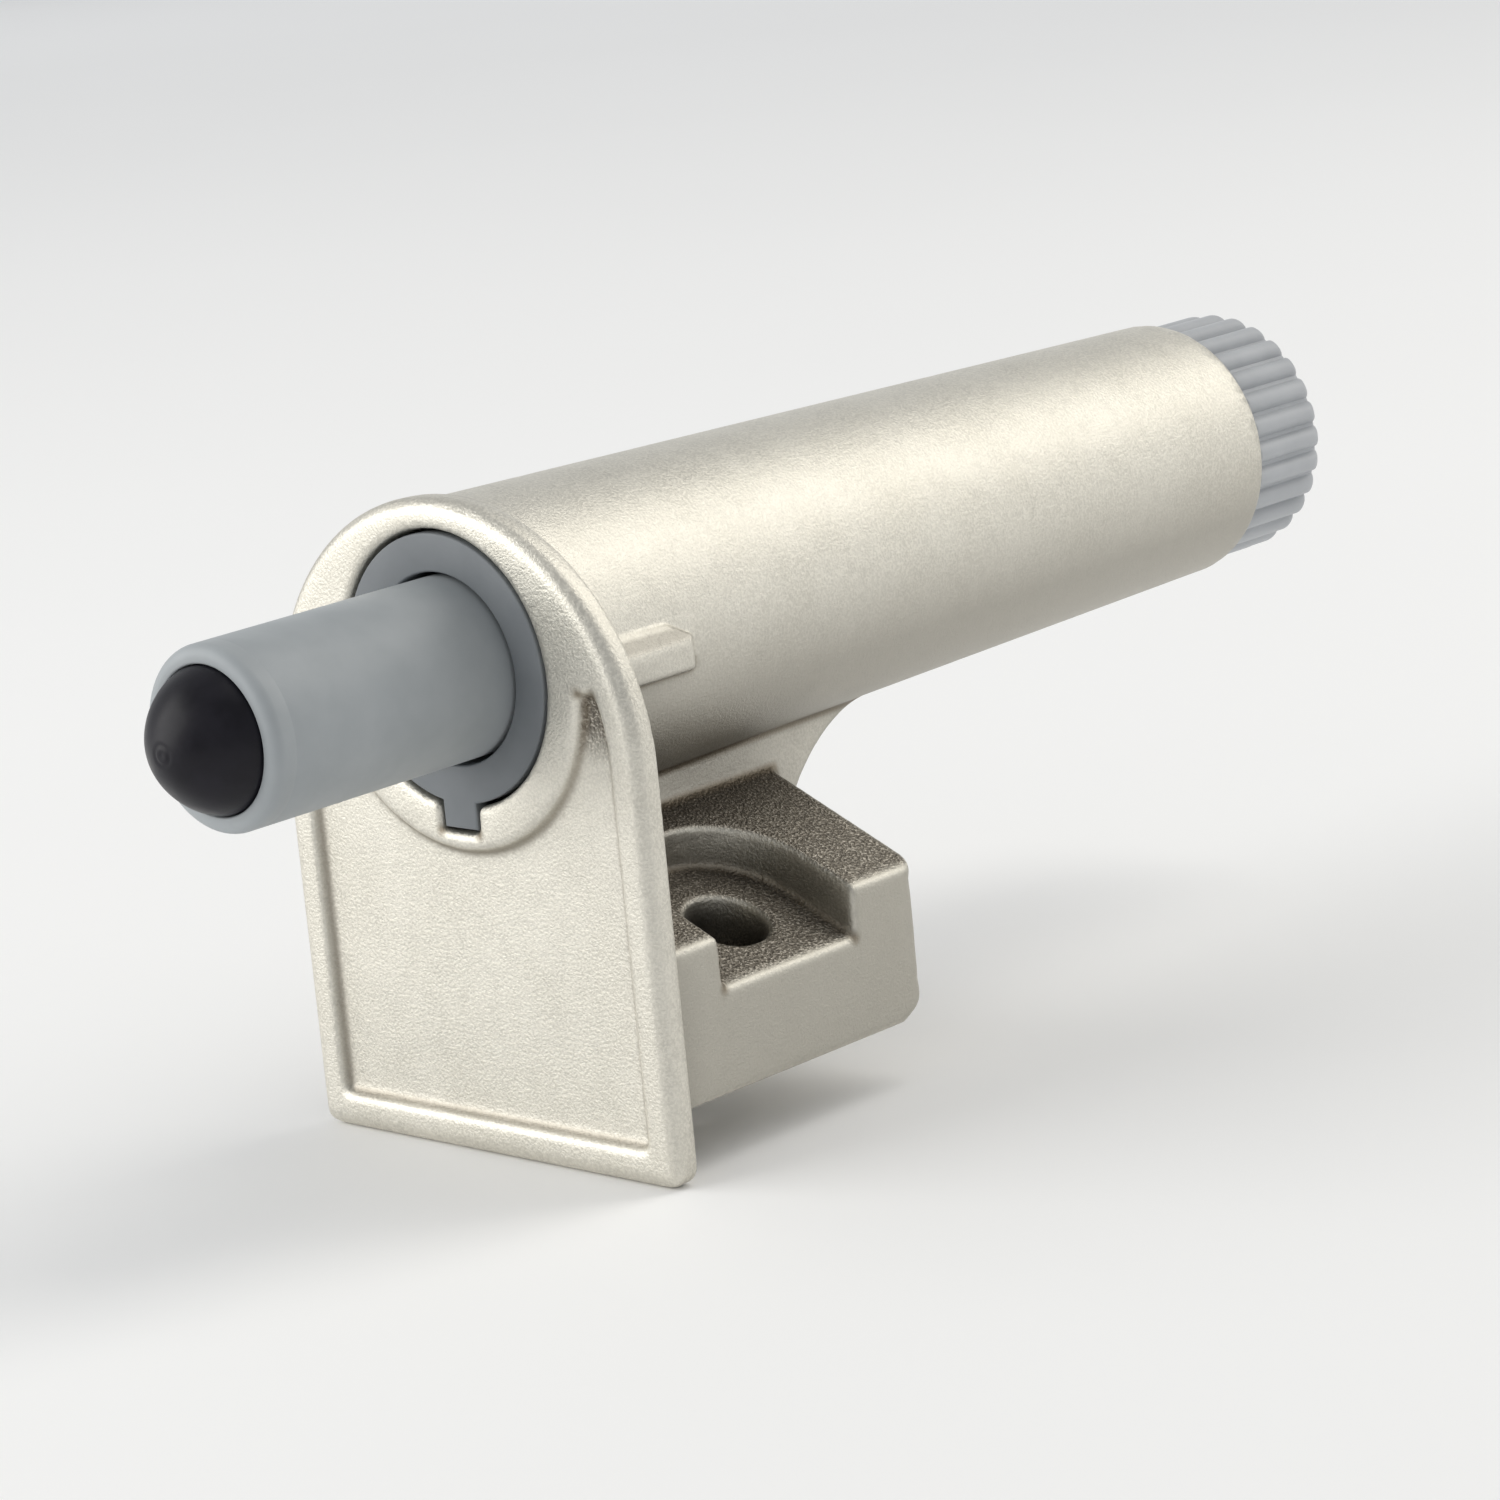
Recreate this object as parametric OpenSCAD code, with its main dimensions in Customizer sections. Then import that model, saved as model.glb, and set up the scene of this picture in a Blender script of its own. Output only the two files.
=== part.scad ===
// Cabinet door damper: a die-cast housing that is screwed to the inside of a cabinet,
// with a sprung oil damper in its barrel and a knob that sets how far the plunger stands out.
// The origin is on the seat face of the base, midway between the screws. The front faces -Y.

/* [Front plate] */
// Width of the plate
plate_w = 22; // [20.5:0.5:26]
// Thickness of the plate
plate_t = 1.5; // [1.2:0.1:2]
// How far the plate hangs below the seat face
plate_lip = 2.9; // [2:0.1:6]
// Radius of the plate's lower corners
plate_corner_r = 0.9; // [0.5:0.1:2]
// Bevel along the plate's front edge
plate_bevel = 0.45; // [0.2:0.05:0.6]
// Width of the rim round the recessed panel
rim_w = 1.65; // [1.2:0.05:2.2]
// Depth of the recessed panel
panel_depth = 0.5; // [0.2:0.05:0.7]
// Radius of the panel's lower corners
panel_corner_r = 0.25; // [0.1:0.05:0.8]
// How far the panel stops below the barrel's axis
panel_stop = 0.4; // [0.2:0.1:3]
// Radius of the raised boss round the bore
boss_r = 7.95; // [7.6:0.05:8.4]

/* [Barrel] */
// Height of the barrel's axis above the seat face
axis_h = 18.85; // [18.4:0.05:22]
// How far the centre of the plate's arch lies below the axis
arch_drop = 3.6; // [3:0.1:3.8]
// Length of the housing from the plate's face to the barrel's rear end
barrel_l = 49.6; // [48.5:0.1:56]
// Outer radius of the barrel at the plate
barrel_front_r = 7.2; // [7:0.05:7.35]
// Outer radius of the barrel at its rear end
barrel_rear_r = 6.2; // [6:0.05:6.8]
// Rounding of the barrel's rear edge
barrel_edge_r = 0.9; // [0.3:0.1:1]

/* [Latch bulges] */
// How far a bulge stands out of the barrel
bulge_out = 0.55; // [0.4:0.05:0.8]
// Height of a bulge
bulge_h = 2.1; // [1.9:0.1:3.2]
// Distance from the plate's face to the rear of a bulge
bulge_end = 8; // [7.6:0.1:10]
// Height of the slope along a bulge's upper edge
bulge_slope = 0.8; // [0.3:0.1:1.2]
// Length of the slope at a bulge's rear end
bulge_run = 0.6; // [0.2:0.1:1.2]

/* [Base block] */
// Width of the block
block_w = 20; // [19:0.5:21]
// Height of the block's side faces
block_side_h = 6.9; // [6.5:0.1:7.2]
// Distance from the plate's face to the block's rear face
block_end = 17.9; // [16:0.1:20]
// Rounding of the block's rear corners
block_corner_r = 1; // [0.5:0.1:2]
// Bevel along the lower rear edge
block_bevel = 0.9; // [0.3:0.1:1.6]
// Length of that bevel along the block's underside
block_bevel_l = 1.6; // [0.3:0.1:2]
// Slope of the block's roof and lean of the screws, in degrees
screw_tilt = 23.4; // [22:0.2:24]
// Thickness of the web between block and barrel
web_t = 3.5; // [2.5:0.1:4]
// Radius of the sweep behind the web
sweep_r = 8.2; // [7:0.1:9]

/* [Screw holes] */
// Diameter of a screw hole
screw_hole_d = 3.7; // [3.2:0.1:4.2]
// Distance between the screws at the seat face
screw_spacing = 7.5; // [7:0.1:8.5]
// Distance from the plate's face to the screws
screw_setback = 9.2; // [8.5:0.1:10]
// Width of the U-shaped counterbore
counterbore_w = 8.4; // [7:0.1:9]
// Depth of the counterbore below the roof
counterbore_depth = 2.1; // [1.5:0.1:2.6]

/* [Guide sleeve] */
// Wall of the sleeve
sleeve_wall = 0.95; // [0.9:0.05:1.05]
// Radius of the flange
flange_r = 5.9; // [5.8:0.05:6.1]
// Thickness of the flange
flange_t = 1.6; // [1.2:0.1:2]
// How far the flange lies behind the boss face
flange_sunk = 0.15; // [0.05:0.05:0.4]
// Width of the flange's key
key_w = 2; // [1.6:0.1:2.6]
// Reach of the key from the axis
key_reach = 7; // [6.7:0.05:7.2]
// Width of a latch tongue
latch_w = 1.6; // [1.2:0.1:1.7]
// Length of a latch nose
latch_nose_l = 2.4; // [1.8:0.1:2.8]
// Length of a latch tongue
latch_l = 7.5; // [6:0.1:9]

/* [Plunger] */
// Diameter of the plunger
plunger_d = 8; // [7.9:0.02:8.04]
// How far the plunger stands out of the plate's face
plunger_out = 13.2; // [13:0.1:18]
// Travel of the plunger
stroke = 12; // [8:0.5:12.5]
// Rounding of the plunger's front edge
plunger_edge_r = 0.55; // [0.3:0.05:0.7]
// Radius of the rubber bumper
bumper_r = 3.2; // [2.8:0.05:3.25]
// Height of the bumper's dome
dome_h = 2.6; // [2:0.1:3.5]
// Radius of the dome's tip
dome_tip_r = 2.4; // [1.2:0.1:2.5]
// Depth of the bumper's socket
socket_depth = 3.5; // [2.5:0.1:5]
// Wall between the socket and the oil chamber
bulkhead_t = 1.5; // [1:0.1:2.5]

/* [Oil damper] */
// Radius of the oil chamber
chamber_r = 3; // [2.9:0.05:3.1]
// Length of the oil chamber
chamber_l = 21.2; // [21:0.1:24]
// Depth of the step at the chamber's rear end
pack_step = 0.25; // [0.2:0.01:0.3]
// Thickness of the perforated washer
washer_t = 0.6; // [0.4:0.05:1]
// Number of holes in the washer
washer_holes = 6; // [4:1:8]
// Length of the foam
foam_l = 4; // [3:0.1:5]
// Length of the rod seal
seal_l = 1.8; // [1.4:0.1:2.4]
// Length of the rod guide
guide_l = 4.4; // [3:0.1:4.6]
// Diameter of the piston rod
rod_d = 2; // [1.8:0.05:2.2]
// Length of the piston
piston_l = 3; // [2.6:0.1:4]
// Thickness of the piston ring
ring_t = 0.8; // [0.6:0.05:1]
// Thickness of the valve disc
disc_t = 0.25; // [0.15:0.05:0.4]
// Wire diameter of the spring
wire_d = 0.5; // [0.4:0.05:0.6]
// Mean diameter of the spring
spring_d = 4.4; // [4:0.05:4.6]
// Open turns of the spring
spring_turns = 6; // [4:1:8]

/* [Adjuster] */
// Radius of the knob over its ridges
knob_r = 5.9; // [5.6:0.05:6.1]
// Length of the knob behind the barrel
knob_l = 5; // [4:0.1:7]
// Number of ridges
knob_ridges = 28; // [20:1:32]
// Radius of a ridge
ridge_r = 0.5; // [0.35:0.01:0.55]
// Rounding of the knob's rear edge
knob_edge_r = 0.9; // [0.4:0.1:1.2]
// Length of the knob's spigot in the sleeve
spigot_l = 6.6; // [6.2:0.1:7]
// Diameter of the adjuster thread
thread_d = 4.8; // [4.4:0.1:5]
// Length of the seat's threaded stem
stem_l = 7; // [6:0.1:7.5]
// Length of the rod seat's head
seat_l = 3.8; // [3:0.1:4.2]
// Width of a key on the rod seat
seat_key_w = 1.4; // [1:0.1:1.8]
// Travel of the rod seat each way
adjust_travel = 1.5; // [1:0.1:1.6]

/* [Clearances] */
// Radial clearance of parts that slide or turn
running_gap = 0.08; // [0.05:0.01:0.1]
// Radial clearance of parts that sit in a seat
seat_gap = 0.05; // [0.02:0.01:0.1]
// Gap round the flange and its key
flange_gap = 0.15; // [0.08:0.01:0.2]
// Space left between parts at their stops
stop_gap = 0.2; // [0.1:0.05:0.3]

/* [Hidden] */
$fn = 96;
// Overlap of shapes that are joined, and overshoot of shapes that cut
bite = 0.2;
over = 1;

front_y = -screw_setback;
arch_r = plate_w / 2;
web_half = web_t / 2;
roof_h = block_side_h + (block_w / 2 - web_half) * tan(screw_tilt);
function barrel_r(y) = barrel_front_r + (barrel_rear_r - barrel_front_r) * y / barrel_l;

// Radii from the plunger outwards
plunger_r = plunger_d / 2;
guide_r = plunger_r + running_gap;
sleeve_r = guide_r + sleeve_wall;
bore_r = sleeve_r + seat_gap;
flange_seat_r = flange_r + flange_gap;
bulge_x = barrel_front_r + bulge_out;
latch_out = (bore_r + bulge_x) / 2 - flange_gap;
latch_start = flange_sunk + flange_t + over;

// Places along the axis, measured from the plate's face
nose_y = -plunger_out;
socket_end = nose_y + socket_depth;
chamber_start = socket_end + bulkhead_t;
chamber_end = chamber_start + chamber_l;
foam_start = chamber_end + washer_t;
seal_start = foam_start + foam_l;
cap_start = seal_start + seal_l;
plunger_end = cap_start + guide_l;
pack_r = chamber_r + pack_step;
piston_end = chamber_end - stop_gap;
piston_start = piston_end - piston_l;
disc_start = piston_start - disc_t;
knob_start = barrel_l + stop_gap / 2;
knob_end = knob_start + knob_l;
spigot_start = knob_start - spigot_l;
seat_end = spigot_start - adjust_travel - stop_gap;
seat_start = seat_end - seat_l;
stem_end = seat_end + stem_l;
sleeve_end = barrel_l - 2 * stop_gap;
thread_end = stem_end + adjust_travel + stop_gap;
keyway_start = seat_start - adjust_travel - stop_gap;

rod_r = rod_d / 2;
rod_head_r = rod_r + 0.35;
rod_head_l = 0.5;
orifice_r = 0.3;
rod_end = seat_start + seat_l * 0.8;
spigot_r = guide_r - running_gap;
thread_r = thread_d / 2;

// Snap ring and O-ring on the spigot
snap_t = 0.8;
snap_y = spigot_start + 1.4;
snap_depth = 0.45;
snap_seat_r = guide_r + snap_depth;
o_ring_r = 0.42;
o_ring_y = snap_y + snap_t + 1.5;
o_ring_gap = 0.02;
o_ring_path_r = guide_r - o_ring_gap - o_ring_r;

// Places a shape on the barrel's axis with its Z running to the rear, y behind the plate's face
module on_axis(y = 0) {
    translate([0, front_y + y, axis_h]) rotate([-90, 0, 0]) children();
}

// A cylinder on the axis between two places
module bar(r, from, to) {
    on_axis(from) cylinder(r = r, h = to - from);
}

// A tube on the axis between two places
module tube(r_out, r_in, from, to) {
    difference() {
        bar(r_out, from, to);
        bar(r_in, from - over, to + over);
    }
}

// A plate outline seen from the front, inset all round, in the plane of on_axis
module plate_outline(inset, corner_r) {
    half = arch_r - inset;
    low = axis_h + plate_lip - inset;
    translate([0, arch_drop]) circle(r = half);
    translate([-half, arch_drop]) square([2 * half, low - corner_r - arch_drop]);
    translate([corner_r - half, arch_drop]) square([2 * (half - corner_r), low - arch_drop]);
    for (side = [-1, 1])
        translate([side * (half - corner_r), low - corner_r]) circle(r = corner_r);
}

// The plate with its front edge bevelled: a cone round the arch, sloping sides and a sloping lower edge
module bevelled_plate() {
    low = axis_h + plate_lip;
    section = [[-arch_r, plate_t], [arch_r, plate_t], [arch_r, plate_bevel], [arch_r - plate_bevel, 0],
        [plate_bevel - arch_r, 0], [-arch_r, plate_bevel]];
    intersection() {
        on_axis() linear_extrude(plate_t) plate_outline(0, plate_corner_r);
        union() {
            on_axis() translate([0, arch_drop, 0]) {
                cylinder(r1 = arch_r - plate_bevel, r2 = arch_r, h = plate_bevel);
                translate([0, 0, plate_bevel]) cylinder(r = arch_r, h = plate_t - plate_bevel);
            }
            translate([0, front_y, -plate_lip - over])
                linear_extrude(low - arch_drop + over) polygon(section);
        }
        translate([-plate_w, front_y, -plate_lip]) rotate([90, 0, 90]) linear_extrude(2 * plate_w)
            polygon([[0, plate_bevel], [plate_bevel, 0], [plate_t, 0], [plate_t, 2 * low], [0, 2 * low]]);
    }
}

// The sunk panel between the rim and the boss
module panel_cut() {
    on_axis(-over) linear_extrude(panel_depth + over) difference() {
        plate_outline(rim_w, panel_corner_r);
        circle(r = boss_r);
        translate([-plate_w, panel_stop - 2 * plate_w]) square(2 * plate_w);
    }
}

// The tapered barrel with its rear edge rounded
module barrel() {
    edge_y = barrel_l - barrel_edge_r;
    edge_x = barrel_r(edge_y) - barrel_edge_r;
    on_axis() rotate_extrude() {
        polygon([[0, plate_bevel], [barrel_r(plate_bevel), plate_bevel], [barrel_r(edge_y), edge_y], [0, edge_y]]);
        translate([0, edge_y - bite]) square([edge_x, barrel_edge_r + bite]);
        intersection() {
            translate([edge_x, edge_y]) circle(r = barrel_edge_r);
            square([barrel_front_r, barrel_l]);
        }
    }
}

// A bulge on each side of the barrel, over the pockets that catch the sleeve's latches
module bulges() {
    from = plate_t - bite;
    for (side = [0, 1]) mirror([side, 0, 0]) intersection() {
        on_axis(from) linear_extrude(bulge_end - from)
            polygon([[bore_r + bite, -bulge_h / 2], [bulge_x - bulge_out, -bulge_h / 2],
                [bulge_x, bulge_slope - bulge_h / 2], [bulge_x, bulge_h / 2], [bore_r + bite, bulge_h / 2]]);
        translate([0, front_y, axis_h - bulge_h]) linear_extrude(2 * bulge_h)
            polygon([[0, from], [bulge_x, from], [bulge_x, bulge_end - bulge_run], [bulge_x - bulge_out, bulge_end],
                [0, bulge_end]]);
    }
}

module latch_pockets() {
    pocket_half = latch_w / 2 + flange_gap;
    for (side = [0, 1]) mirror([side, 0, 0])
        translate([0, front_y + latch_start - flange_gap, axis_h - pocket_half])
            cube([latch_out + flange_gap, latch_nose_l + 2 * flange_gap, 2 * pocket_half]);
}

// The base: a roofed prism with rounded rear corners and a bevelled lower rear edge
module base_block() {
    half = block_w / 2;
    rear = front_y + block_end;
    front = front_y + plate_t - bite;
    intersection() {
        translate([0, rear, 0]) rotate([90, 0, 0]) linear_extrude(rear - front)
            polygon([[-half, 0], [half, 0], [half, block_side_h], [web_half, roof_h], [-web_half, roof_h],
                [-half, block_side_h]]);
        linear_extrude(axis_h) {
            translate([-half, front]) square([block_w, rear - block_corner_r - front]);
            translate([block_corner_r - half, front]) square([block_w - 2 * block_corner_r, rear - front]);
            for (side = [-1, 1])
                translate([side * (half - block_corner_r), rear - block_corner_r]) circle(r = block_corner_r);
        }
        translate([-plate_w, 0, 0]) rotate([90, 0, 90]) linear_extrude(2 * plate_w)
            polygon([[front - over, 0], [rear - block_bevel_l, 0], [rear, block_bevel], [rear, axis_h],
                [front - over, axis_h]]);
    }
}

// The web between block and barrel, with its rear edge swept up to the barrel
module web() {
    front = front_y + plate_t - bite;
    sweep_y = front_y + block_end + sweep_r;
    under = sqrt(pow(barrel_r(block_end + sweep_r), 2) - pow(web_half, 2)) - bite / 2;
    translate([-web_half, 0, 0]) rotate([90, 0, 90]) linear_extrude(web_t) difference() {
        translate([front, block_bevel]) square([sweep_y - front, axis_h - block_bevel]);
        translate([sweep_y, axis_h - under - sweep_r]) circle(r = sweep_r);
        translate([front_y + block_end, 0]) square([sweep_r + over, axis_h - under - sweep_r]);
    }
}

// A screw hole that leans away from the barrel, with a counterbore that opens through the block's side
module screw_holes() {
    roof = block_w / 2 * sin(screw_tilt) + block_side_h * cos(screw_tilt);
    floor_l = roof - screw_spacing / 2 * sin(screw_tilt) - counterbore_depth;
    for (side = [0, 1]) mirror([side, 0, 0])
        translate([screw_spacing / 2, 0, 0]) rotate([0, screw_tilt, 0]) {
            translate([0, 0, -screw_hole_d]) cylinder(d = screw_hole_d, h = floor_l + screw_hole_d + over);
            translate([0, 0, floor_l]) linear_extrude(counterbore_depth + over) {
                circle(d = counterbore_w);
                translate([0, -counterbore_w / 2]) square([block_w / 2, counterbore_w]);
            }
        }
}

module housing() {
    key_half = key_w / 2 + flange_gap;
    color("#c8c0ab") difference() {
        union() {
            bevelled_plate();
            barrel();
            bulges();
            base_block();
            web();
        }
        panel_cut();
        bar(bore_r, -over, barrel_l + over);
        bar(flange_seat_r, -over, flange_sunk + flange_t);
        translate([-key_half, front_y - over, axis_h - key_reach - flange_gap])
            cube([2 * key_half, over + flange_sunk + flange_t, key_reach]);
        latch_pockets();
        screw_holes();
    }
}

// Two tongues cut free in the sleeve's wall, each with a nose that catches in its pocket
module latch_slits() {
    slit = 2 * flange_gap;
    for (side = [0, 1]) mirror([side, 0, 0])
        translate([guide_r - bite, front_y + latch_start - slit, axis_h]) {
            for (edge = [-1, 1])
                translate([0, 0, edge * (latch_w + slit) / 2 - slit / 2]) cube([sleeve_r, latch_l, slit]);
            translate([0, 0, -latch_w / 2 - slit]) cube([sleeve_r, slit, latch_w + 2 * slit]);
        }
}

module latch_noses() {
    root = sleeve_r - sleeve_wall / 2;
    for (side = [0, 1]) mirror([side, 0, 0])
        translate([0, front_y, axis_h - latch_w / 2]) linear_extrude(latch_w)
            polygon([[root, latch_start], [latch_out, latch_start], [latch_out, latch_start + latch_nose_l / 3],
                [root, latch_start + latch_nose_l]]);
}

module guide_sleeve() {
    color("#8e979c") difference() {
        union() {
            bar(flange_r, flange_sunk, flange_sunk + flange_t - seat_gap);
            bar(sleeve_r, flange_sunk, sleeve_end);
            translate([-key_w / 2, front_y + flange_sunk, axis_h - key_reach])
                cube([key_w, flange_t - seat_gap, key_reach - guide_r - bite]);
            latch_noses();
        }
        bar(guide_r, -over, barrel_l);
        latch_slits();
        bar(snap_seat_r, snap_y - seat_gap, snap_y + snap_t + seat_gap);
        seat_keys(seat_gap, keyway_start, sleeve_end + over);
    }
}

// The keys of the rod seat, or the keyways that they run in when grown by a gap
module seat_keys(gap, from, to) {
    reach = guide_r + sleeve_wall / 2 + gap;
    half = seat_key_w / 2 + gap;
    translate([-half, front_y + from, axis_h - reach]) cube([2 * half, to - from, 2 * reach]);
}

module plunger_cylinder() {
    edge_r = plunger_edge_r;
    color("#8a949a") difference() {
        on_axis() rotate_extrude() {
            translate([0, nose_y + edge_r]) square([plunger_r, plunger_end - nose_y - edge_r]);
            translate([0, nose_y]) square([plunger_r - edge_r, edge_r + bite]);
            translate([plunger_r - edge_r, nose_y + edge_r]) circle(r = edge_r);
        }
        bar(bumper_r, nose_y - over, socket_end);
        bar(chamber_r, chamber_start, chamber_end + bite);
        bar(pack_r, chamber_end, plunger_end + over);
    }
}

// The dome is a cone that runs tangent into a round tip
module bumper() {
    tip_h = dome_h - dome_tip_r;
    lean = atan2(tip_h, bumper_r) + asin(dome_tip_r / norm([bumper_r, tip_h]));
    stem_r = bumper_r - seat_gap;
    color("#1d1c20") on_axis(nose_y) rotate([180, 0, 0]) rotate_extrude() {
        polygon([[0, 0], [stem_r, 0], [dome_tip_r * sin(lean), tip_h + dome_tip_r * cos(lean)], [0, tip_h]]);
        intersection() {
            translate([0, tip_h]) circle(r = dome_tip_r);
            square([bumper_r, dome_h + over]);
        }
        translate([0, seat_gap - socket_depth]) square([stem_r, socket_depth]);
    }
}

// A helical wire whose end turns lie close, swept as rings of points
module return_spring() {
    wire_r = wire_d / 2;
    sides = 8;
    steps = 16;
    closed = 1.25;
    turns = spring_turns + 2 * closed;
    from = chamber_start + wire_r + seat_gap;
    to = disc_start - wire_r - seat_gap;
    close_l = closed * (wire_d + seat_gap);
    open_l = to - from - 2 * close_l;
    count = steps * turns;
    function rise(t) = t < closed ? t / closed * close_l
        : t > turns - closed ? close_l + open_l + (t - turns + closed) / closed * close_l
        : close_l + (t - closed) / spring_turns * open_l;
    points = [for (i = [0:count]) let (t = i / steps, a = 360 * t) for (k = [0:sides - 1])
        let (r = spring_d / 2 + wire_r * cos(360 * k / sides), z = from + rise(t) + wire_r * sin(360 * k / sides))
            [r * cos(a), r * sin(a), z]];
    skin = [for (i = [0:count - 1]) for (k = [0:sides - 1])
        let (a = i * sides + k, b = i * sides + (k + 1) % sides) [a, b, b + sides, a + sides]];
    start_cap = [[for (k = [sides - 1:-1:0]) k]];
    end_cap = [[for (k = [0:sides - 1]) count * sides + k]];
    color("#9a9a98") on_axis() polyhedron(points, concat(skin, start_cap, end_cap));
}

module piston() {
    ring_y = (piston_start + piston_end - ring_t) / 2;
    color("#d8d4c6") difference() {
        bar(chamber_r - running_gap, piston_start, piston_end);
        bar(rod_r, piston_start - over, piston_end + over);
        tube(chamber_r, chamber_r * 0.8, ring_y - seat_gap, ring_y + ring_t + seat_gap);
        for (side = [-1, 1])
            translate([side * (chamber_r * 0.8 + rod_r) / 2, 0, 0]) bar(orifice_r, piston_start - over, piston_end + over);
    }
}

module piston_ring() {
    ring_y = (piston_start + piston_end - ring_t) / 2;
    color("#2a2a2c") tube(chamber_r - running_gap / 2, chamber_r * 0.8 + seat_gap, ring_y, ring_y + ring_t);
}

module valve_disc() {
    color("#b5b5b2") tube(chamber_r * 0.85, rod_r + seat_gap, disc_start, piston_start);
}

module piston_rod() {
    color("#c4c4c2") {
        bar(rod_r, disc_start - rod_head_l / 2, rod_end);
        bar(rod_head_r, disc_start - rod_head_l, disc_start);
    }
}

module foam_washer() {
    hole_r = pack_r / 8;
    color("#c9c5b8") difference() {
        tube(pack_r - seat_gap, rod_r + running_gap, chamber_end, foam_start);
        for (i = [0:washer_holes - 1])
            on_axis(chamber_end - over) rotate([0, 0, 360 / washer_holes * i])
                translate([(pack_r + rod_r) / 2, 0, 0]) cylinder(r = hole_r, h = washer_t + 2 * over);
    }
}

module compensator_foam() {
    color("#3a3a3c") tube(pack_r - seat_gap, rod_r + 4 * running_gap, foam_start, seal_start);
}

module rod_seal() {
    color("#262628") tube(pack_r - seat_gap, rod_r + running_gap / 2, seal_start, cap_start);
}

module guide_cap() {
    color("#d2cebf") tube(pack_r - seat_gap, rod_r + running_gap, cap_start, plunger_end);
}

// The seat's keys stop it from turning, so the knob's thread moves it along the barrel
module rod_seat() {
    head_r = guide_r - 2 * running_gap;
    color("#cfcab8") difference() {
        union() {
            bar(head_r, seat_start, seat_end);
            bar(thread_r, seat_end - bite, stem_end);
            seat_keys(0, seat_start, seat_end);
        }
        bar(rod_r, seat_start - over, rod_end);
    }
}

module knob_snap_ring() {
    slot = 1.2;
    color("#aaa9a5") difference() {
        tube(snap_seat_r - seat_gap, spigot_r - snap_depth, snap_y, snap_y + snap_t);
        translate([-slot / 2, front_y + snap_y - over, axis_h]) cube([slot, snap_t + 2 * over, snap_seat_r]);
    }
}

module knob_o_ring() {
    color("#1f1f21") on_axis(o_ring_y) rotate_extrude() translate([o_ring_path_r, 0]) circle(r = o_ring_r);
}

// The ridges are a ring of rounds, cut to a profile whose rear edge is rounded
module adjuster_knob() {
    pitch_r = knob_r - ridge_r;
    edge_x = knob_r + bite - knob_edge_r;
    color("#9aa1a5") difference() {
        union() {
            intersection() {
                on_axis(knob_start) linear_extrude(knob_l) {
                    circle(r = pitch_r);
                    for (i = [0:knob_ridges - 1])
                        rotate(360 / knob_ridges * i) translate([pitch_r, 0]) circle(r = ridge_r);
                }
                on_axis() rotate_extrude() {
                    translate([0, knob_start - over]) square([edge_x + knob_edge_r, knob_l + over - knob_edge_r]);
                    translate([0, knob_start]) square([edge_x, knob_l]);
                    translate([edge_x, knob_end - knob_edge_r]) circle(r = knob_edge_r);
                }
            }
            bar(spigot_r, spigot_start, knob_start + bite);
        }
        bar(thread_r + running_gap, spigot_start - over, thread_end);
        tube(guide_r, spigot_r - snap_depth - running_gap, snap_y - running_gap, snap_y + snap_t + running_gap);
        tube(guide_r, o_ring_path_r - o_ring_r - o_ring_gap, o_ring_y - o_ring_r - seat_gap, o_ring_y + o_ring_r + seat_gap);
    }
}

housing();
guide_sleeve();
plunger_cylinder();
bumper();
return_spring();
piston();
piston_ring();
valve_disc();
piston_rod();
foam_washer();
compensator_foam();
rod_seal();
guide_cap();
rod_seat();
knob_snap_ring();
knob_o_ring();
adjuster_knob();
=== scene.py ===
import math

import bmesh
import bpy
import numpy as np
from mathutils import Matrix, Vector
from mathutils.bvhtree import BVHTree
from mathutils.kdtree import KDTree


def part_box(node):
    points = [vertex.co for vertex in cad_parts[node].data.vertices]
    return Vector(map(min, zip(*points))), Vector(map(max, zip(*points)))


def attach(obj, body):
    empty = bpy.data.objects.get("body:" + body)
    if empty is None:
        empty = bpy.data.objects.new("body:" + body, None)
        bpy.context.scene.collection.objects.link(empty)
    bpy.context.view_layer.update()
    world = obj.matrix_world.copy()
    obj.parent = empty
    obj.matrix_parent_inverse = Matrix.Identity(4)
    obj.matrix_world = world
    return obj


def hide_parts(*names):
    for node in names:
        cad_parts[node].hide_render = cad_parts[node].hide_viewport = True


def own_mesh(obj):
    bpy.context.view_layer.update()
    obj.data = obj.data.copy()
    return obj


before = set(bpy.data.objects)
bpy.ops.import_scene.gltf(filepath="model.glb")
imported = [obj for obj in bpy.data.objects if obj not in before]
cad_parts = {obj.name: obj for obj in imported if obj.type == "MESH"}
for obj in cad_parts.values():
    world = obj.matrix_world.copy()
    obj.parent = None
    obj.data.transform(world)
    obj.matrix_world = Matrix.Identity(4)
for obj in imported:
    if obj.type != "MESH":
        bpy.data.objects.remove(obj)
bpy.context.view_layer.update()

# Housing: a zinc die-casting of arched plate, tapered barrel, web and screw block in one piece.
# It is tumbled, blasted and plated in satin nickel, so edges are soft and the skin has a fine grain.
MM = 0.001
AXIS_H = 18.85
PLATE_FACE_Y = -9.2
BARREL_L = 49.6
BARREL_FRONT_R = 7.2
BARREL_TAPER = 1.0 / BARREL_L
BORE_R = 5.13
BLOCK_HALF_W = 10
EAVES_H = 6.9
CAST_GRID = 0.12
CAST_SMOOTHING = 14
CURVE_SMOOTHING = 24
THINNED_SMOOTHING = 4
HELD_SMOOTHING = 3
CAST_TRIANGLES = 186000
SHARP_ANGLE = math.radians(28)
EDGE_SOFT = (0.14, 0.42)
CAD_REAR_R = 0.9
REAR_R = 0.45
EDGE_WIDTH = 0.26
CREVICE_WIDTH = 0.40
FULL_BEND = math.radians(30)
BEHIND_PLATE_Y = PLATE_FACE_Y + 1.7
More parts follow.
